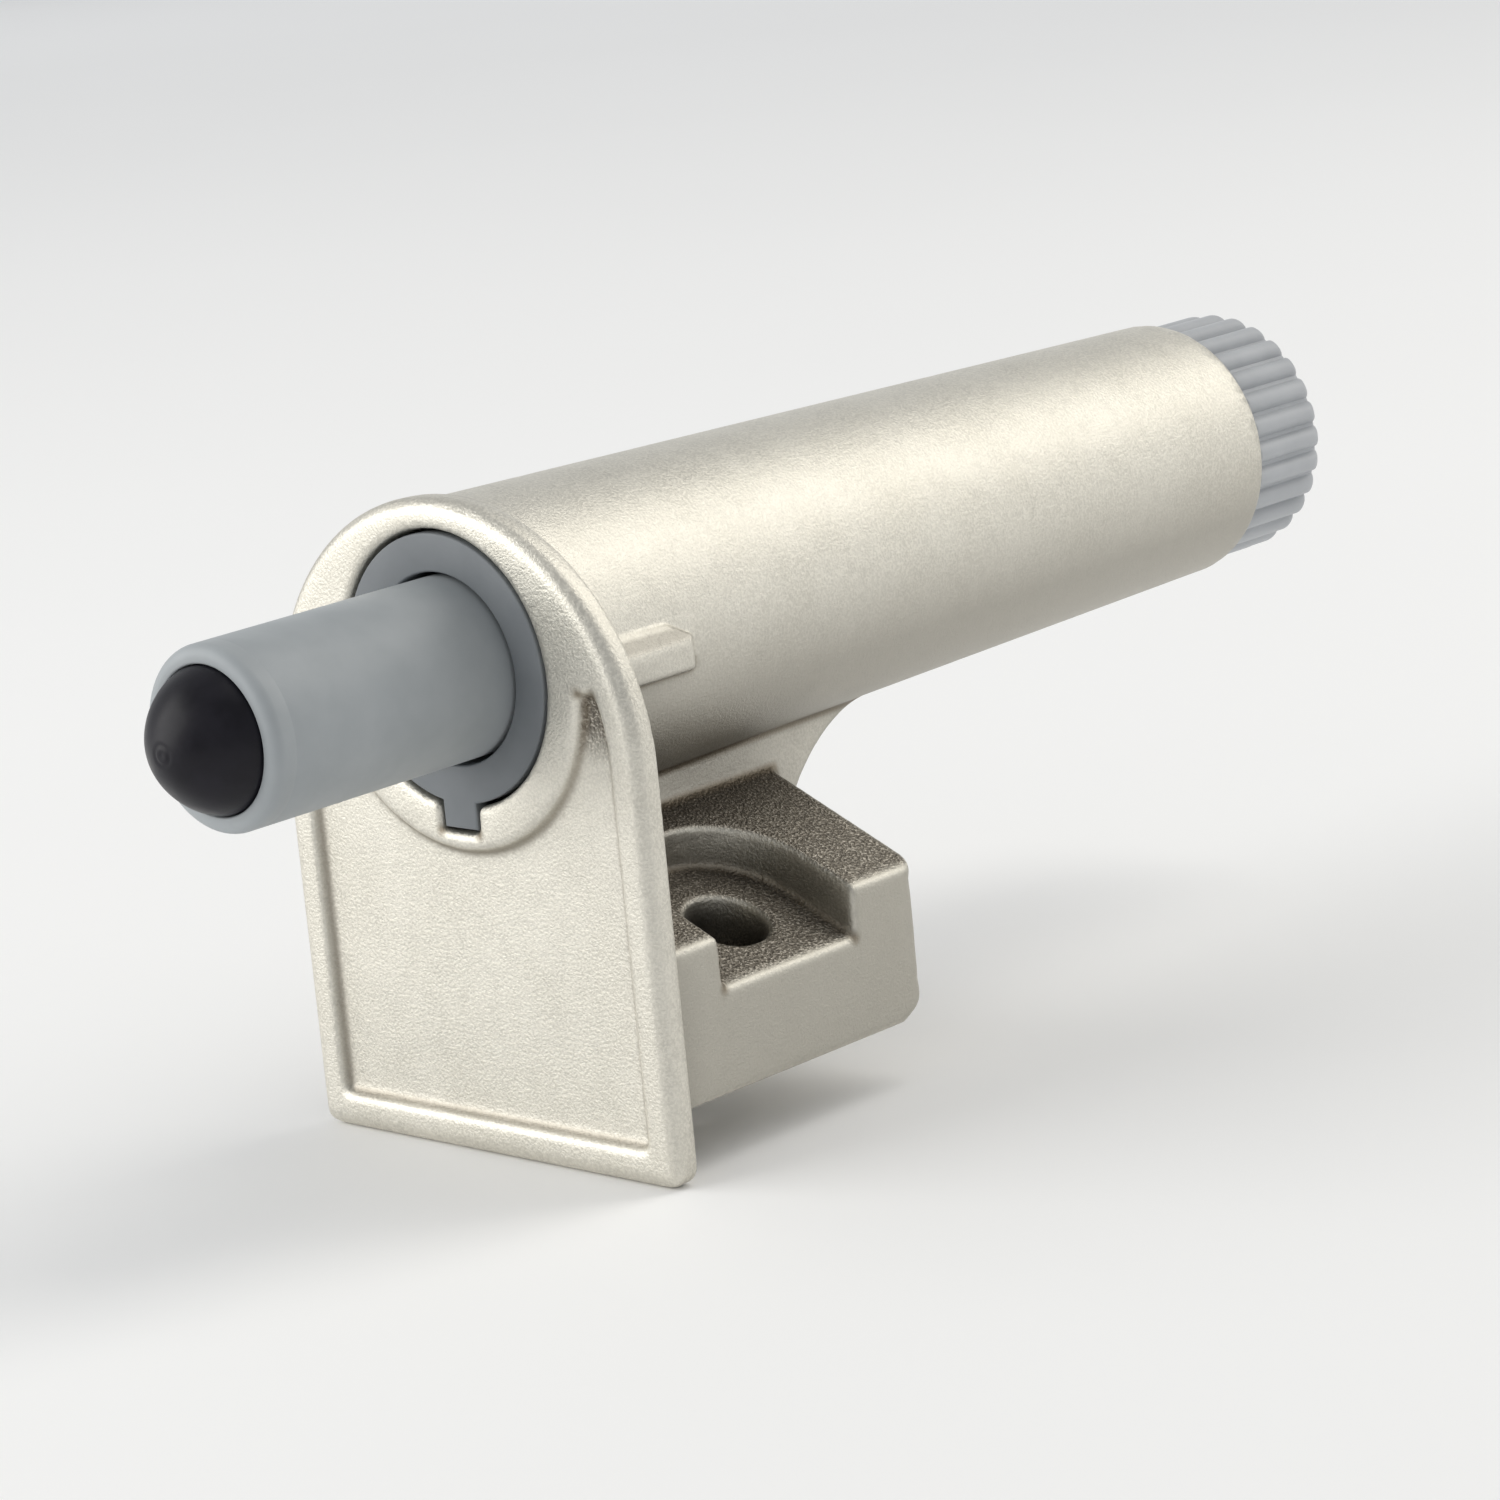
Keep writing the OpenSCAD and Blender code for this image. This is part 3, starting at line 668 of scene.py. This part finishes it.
# Bumper: a soft black rubber dome pushed into the plunger's socket, which meets the door.
# A small moulded ring marks its tip.
rubber = Finish("black_rubber", Roughness=0.42, IOR=1.5, Specular_IOR_Level=0.22)
bloom = rubber.noise(900, 3)
rubber.set("Base Color", rubber.ramp(bloom, (0.3, (0.0055, 0.005, 0.0085)), (0.75, (0.011, 0.010, 0.0155))))
rubber.set("Roughness", rubber.spread(bloom, 0.3, 0.7, 0.32, 0.46))
rubber.bump((rubber.noise(2600, 2), 0.15, 0.00003))

STEM_R = 3.15
DOME_H = 2.6
DOME_FULL = 0.79
DOME_STEPS = 48
dome_profile = [(0, nose - DOME_H + 0.03)]
for step in range(1, DOME_STEPS + 1):
    turn = 0.5 * math.pi * step / DOME_STEPS
    ring_dip = 0.035 * math.exp(-((turn - 0.17) / 0.035) ** 2) + 0.03 * max(0, 1 - turn / 0.09)
    swell = math.sin(turn) * (DOME_FULL + (1 - DOME_FULL) * (1 - math.cos(turn)))
    dome_profile.append((STEM_R * swell, nose - (DOME_H - ring_dip) * math.cos(turn)))
dome_profile += [(STEM_R, nose + SOCKET_DEPTH - 0.15), (STEM_R - 0.1, nose + SOCKET_DEPTH - 0.05),
                 (0, nose + SOCKET_DEPTH - 0.05)]
dome = lathe("rubber_dome", dome_profile, 160)
finish_piece(dome, "plunger", "black_rubber", rubber.material, "bumper")
smooth_by_angle(dome)

# Damper inside the plunger: spring, piston, valve disc and rod in oil, closed by washer, foam, seal and cap.
# All of it is hidden, so the CAD solids stay and only get a finish of steel, plastic or rubber.
# The spring alone is a copy, because it shortens between the plunger's bulkhead and the valve disc.
steel = Finish("drawn_steel", Metallic=1.0)
draw = steel.noise(3200, 2)
steel.set("Base Color", steel.ramp(draw, (0.3, (0.50, 0.50, 0.49)), (0.7, (0.62, 0.62, 0.61))))
steel.set("Roughness", steel.spread(draw, 0.3, 0.7, 0.22, 0.36))
natural = Finish("natural_moulding", Roughness=0.5)
flow = natural.noise(800, 3)
natural.set("Base Color", natural.ramp(flow, (0.3, (0.58, 0.54, 0.44)), (0.7, (0.66, 0.62, 0.52))))
natural.bump((natural.noise(4200, 2), 0.15, 0.00002))
for material, nodes in ((steel, ("valve_disc", "piston_rod", "knob_snap_ring")),
                        (natural, ("piston", "foam_washer", "guide_cap", "rod_seat")),
                        (rubber, ("piston_ring", "compensator_foam", "rod_seal", "knob_o_ring"))):
    for node in nodes:
        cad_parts[node].data.materials.clear()
        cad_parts[node].data.materials.append(material.material)

coil = cad_copy_mm("return_spring")
coil_mesh = bpy.data.meshes.new("coil_spring")
coil.to_mesh(coil_mesh)
coil.free()
spring = new_piece("coil_spring", coil_mesh)
to_metres(spring)
finish_piece(spring, "plunger", "spring_steel", steel.material, "return_spring")
smooth_by_angle(spring)
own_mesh(spring)

# Adjuster knob: a moulded cap with finger ridges on a spigot that snaps into the sleeve.
# Turning it drives the rod seat along its thread and sets how far the plunger stands out.
knob_grey = grey_moulding("knob_moulding", (0.43, 0.445, 0.465), (0.48, 0.495, 0.515), 0.48)

RIDGES = 28
KNOB_R = 5.9
RIDGE_R = 0.5
KNOB_L = 5.0
KNOB_EDGE_R = 0.9
EDGE_SHIFT = 0.2
VALLEY_FILL = 0.06
FRONT_EDGE_R = 0.15
SPIGOT_R = 4.0
SHOULDER_R = 4.6
THREAD_R = 2.48
O_GROOVE_R = 3.2
O_PLAY = 0.05
SNAP_GROOVE_R = SPIGOT_R - 0.53
SNAP_PLAY = 0.08
SECTOR_STEPS = 14
pitch_r = KNOB_R - RIDGE_R
spigot_start, knob_end = node_reach("adjuster_knob")
knob_start = knob_end - KNOB_L
snap_low, snap_high = node_reach("knob_snap_ring")
o_low, o_high = node_reach("knob_o_ring")
thread_end = node_reach("rod_seat")[1] + 1.7


def ridge_reach(turn):
    """Outer radius over a ridge, turn being the angle from its crest."""
    inside = RIDGE_R ** 2 - (pitch_r * math.sin(turn)) ** 2
    crest = pitch_r * math.cos(turn) + math.sqrt(max(0, inside))
    return -soft_least(-crest, -(pitch_r + VALLEY_FILL), 0.2)


def soft_least(a, b, width):
    """The lesser of two radii, rounded where they meet."""
    blend = max(0, width - abs(a - b)) / width
    return min(a, b) - blend * blend * width / 4


edge_centre = KNOB_R + EDGE_SHIFT - KNOB_EDGE_R
knob_rows = [(0, knob_end, None), (2.2, knob_end, None), (4.4, knob_end, None)]
for radius, y in reversed(arc((edge_centre, knob_end - KNOB_EDGE_R), KNOB_EDGE_R, 0, 90, 12)):
    knob_rows.append((radius, y, 0))
for y in np.linspace(knob_end - KNOB_EDGE_R, knob_start + FRONT_EDGE_R, 10)[1:]:
    knob_rows.append((edge_centre + KNOB_EDGE_R, float(y), 0))
for sink, y in arc((FRONT_EDGE_R, knob_start + FRONT_EDGE_R), FRONT_EDGE_R, 180, 270, 5)[1:]:
    knob_rows.append((edge_centre + KNOB_EDGE_R, y, sink))
spigot_profile = [(SHOULDER_R, knob_start), (SPIGOT_R, knob_start)]
spigot_profile += [(SPIGOT_R, o_high + O_PLAY), (O_GROOVE_R, o_high + O_PLAY)]
spigot_profile += [(O_GROOVE_R, o_low - O_PLAY), (SPIGOT_R, o_low - O_PLAY)]
spigot_profile += [(SPIGOT_R, snap_high + SNAP_PLAY), (SNAP_GROOVE_R, snap_high + SNAP_PLAY)]
spigot_profile += [(SNAP_GROOVE_R, snap_low - SNAP_PLAY), (SPIGOT_R, snap_low - SNAP_PLAY)]
spigot_profile += [(SPIGOT_R, spigot_start), (THREAD_R, spigot_start)]
spigot_profile += [(THREAD_R, thread_end), (0, thread_end)]
knob_rows += [(radius, y, None) for radius, y in spigot_profile]


def knob_sector():
    """One ridge of the knob with its share of cap and spigot, round the world Y axis."""
    bm = bmesh.new()
    half = math.pi / RIDGES
    rows = []
    for radius, y, sink in knob_rows:
        row = []
        for step in range(SECTOR_STEPS + 1):
            turn = half * (2 * step / SECTOR_STEPS - 1)
            reach = radius if sink is None else soft_least(radius, ridge_reach(turn), 0.25) - sink
            row.append(bm.verts.new((reach * math.sin(turn), PLATE_FACE_Y + y, reach * math.cos(turn))))
        rows.append(row)
    for a, b in zip(rows, rows[1:]):
        for step in range(SECTOR_STEPS):
            bm.faces.new((a[step], a[step + 1], b[step + 1], b[step]))
    bmesh.ops.remove_doubles(bm, verts=bm.verts, dist=0.0005)
    mesh = bpy.data.meshes.new("knob_sector")
    bm.to_mesh(mesh)
    bm.free()
    mesh.transform(Matrix.Scale(MM, 4))
    return mesh


def ring_of_ridges():
    """A node tree that sets copies of one sector round the axis and welds them."""
    tree = bpy.data.node_groups.new("ring_of_ridges", "GeometryNodeTree")
    sockets = {}
    for name, kind, side in (("Sector", "Geometry", "INPUT"), ("Ridges", "Int", "INPUT"),
                             ("Axis height", "Float", "INPUT"), ("Finish", "Material", "INPUT"),
                             ("Knob", "Geometry", "OUTPUT")):
        socket = tree.interface.new_socket(name, in_out=side, socket_type="NodeSocket" + kind)
        sockets[name] = socket.identifier
    add = tree.nodes.new
    link = tree.links.new
    given, made = add("NodeGroupInput"), add("NodeGroupOutput")
    spots, place = add("GeometryNodePoints"), add("ShaderNodeCombineXYZ")
    index, turn, step = add("GeometryNodeInputIndex"), add("ShaderNodeMath"), add("ShaderNodeMath")
    angles, ring = add("ShaderNodeCombineXYZ"), add("GeometryNodeInstanceOnPoints")
    realize, weld = add("GeometryNodeRealizeInstances"), add("GeometryNodeMergeByDistance")
    paint = add("GeometryNodeSetMaterial")
    step.operation, turn.operation = "DIVIDE", "MULTIPLY"
    step.inputs[0].default_value = 2 * math.pi
    weld.inputs["Distance"].default_value = 0.000002
    link(given.outputs["Ridges"], spots.inputs["Count"])
    link(given.outputs["Axis height"], place.inputs["Z"])
    link(place.outputs[0], spots.inputs["Position"])
    link(given.outputs["Ridges"], step.inputs[1])
    link(index.outputs[0], turn.inputs[0])
    link(step.outputs[0], turn.inputs[1])
    link(turn.outputs[0], angles.inputs["Y"])
    link(spots.outputs[0], ring.inputs["Points"])
    link(given.outputs["Sector"], ring.inputs["Instance"])
    link(angles.outputs[0], ring.inputs["Rotation"])
    link(ring.outputs[0], realize.inputs[0])
    link(realize.outputs[0], weld.inputs["Geometry"])
    link(weld.outputs[0], paint.inputs["Geometry"])
    link(given.outputs["Finish"], paint.inputs["Material"])
    link(paint.outputs[0], made.inputs["Knob"])
    return tree, sockets


knob = new_piece("ridged_knob", knob_sector())
ridge_tree, ridge_sockets = ring_of_ridges()
ridge_ring = knob.modifiers.new("Ring of ridges", "NODES")
ridge_ring.node_group = ridge_tree
ridge_ring[ridge_sockets["Ridges"]] = RIDGES
ridge_ring[ridge_sockets["Axis height"]] = AXIS_H * MM
ridge_ring[ridge_sockets["Finish"]] = knob_grey.material
knob_mesh = evaluated_mesh(knob)
knob.modifiers.clear()
knob.data = knob_mesh
shell = bmesh.new()
shell.from_mesh(knob_mesh)
bmesh.ops.recalc_face_normals(shell, faces=shell.faces)
shell.to_mesh(knob_mesh)
shell.free()
finish_piece(knob, "adjuster", "knob_plastic", knob_grey.material, "adjuster_knob")
smooth_by_angle(knob)

# Studio: a pale seamless floor under the plate's lower edge, a tall soft box above and behind,
# a large one at the front left, a weak card at each side, and the camera of the photograph.
FLOOR_Z = -0.0029
floor_finish = Finish("pale_floor", Roughness=0.75)
floor_cloud = floor_finish.noise(9, 2)
floor_tone = floor_finish.ramp(floor_cloud, (0.3, (0.915, 0.915, 0.915)), (0.7, (0.93, 0.93, 0.93)))
floor_finish.set("Base Color", floor_tone)
floor_mesh = bpy.data.meshes.new("floor")
floor_corners = [(x, y, FLOOR_Z) for x, y in ((-3.0, -3.0), (3.0, -3.0), (3.0, 3.0), (-3.0, 3.0))]
floor_mesh.from_pydata(floor_corners, [], [(0, 1, 2, 3)])
floor_mesh.materials.append(floor_finish.material)
floor = new_piece("floor", floor_mesh)


def softbox(name, direction, distance, width, height, watts, colour):
    """An area light that faces the object from a direction."""
    data = bpy.data.lights.new(name, "AREA")
    data.shape, data.size, data.size_y = "RECTANGLE", width, height
    data.energy, data.color = watts, colour
    light = bpy.data.objects.new(name, data)
    bpy.context.scene.collection.objects.link(light)
    towards = Vector(direction).normalized()
    light.location = Vector((0, 0.015, 0.012)) + towards * distance
    light.rotation_euler = towards.to_track_quat("Z", "Y").to_euler()


softbox("key", (0.36, 0.66, 0.84), 0.55, 0.26, 0.66, 1.4, (1.0, 0.97, 0.91))
softbox("back_card", (-0.70, 0.70, 0.26), 0.70, 0.60, 0.30, 0.25, (0.97, 0.985, 1.0))
softbox("right_card", (0.74, 0.66, 0.14), 0.70, 0.40, 0.16, 0.25, (1.0, 0.985, 0.95))
softbox("front_fill", (-0.60, -0.75, 0.40), 0.60, 0.60, 0.50, 2.6, (1.0, 0.99, 0.965))
world = bpy.data.worlds.new("studio")
world.use_nodes = True
world.node_tree.nodes["Background"].inputs["Color"].default_value = (0.96, 0.98, 1.0, 1)
world.node_tree.nodes["Background"].inputs["Strength"].default_value = 0.47
bpy.context.scene.world = world
bpy.context.scene.view_settings.view_transform = "Standard"

AIM = Vector((0, 0.00912, 0.011018))
VIEW_DISTANCE = 0.233805
AZIMUTH, ELEVATION, ROLL = (math.radians(a) for a in (43.806, 13.182, -5.45))
back = Vector((math.sin(AZIMUTH) * math.cos(ELEVATION), -math.cos(AZIMUTH) * math.cos(ELEVATION),
               math.sin(ELEVATION)))
level = (-back).cross(Vector((0, 0, 1))).normalized()
upright = level.cross(-back)
right = math.cos(ROLL) * level + math.sin(ROLL) * upright
up = -math.sin(ROLL) * level + math.cos(ROLL) * upright
camera_data = bpy.data.cameras.new("camera")
camera_data.sensor_width = 36
camera_data.lens = 124.06
camera_data.clip_start = 0.01
camera = bpy.data.objects.new("camera", camera_data)
bpy.context.scene.collection.objects.link(camera)
stand = Matrix.Translation(AIM + back * VIEW_DISTANCE)
camera.matrix_world = stand @ Matrix((right, up, back)).transposed().to_4x4()
bpy.context.scene.camera = camera
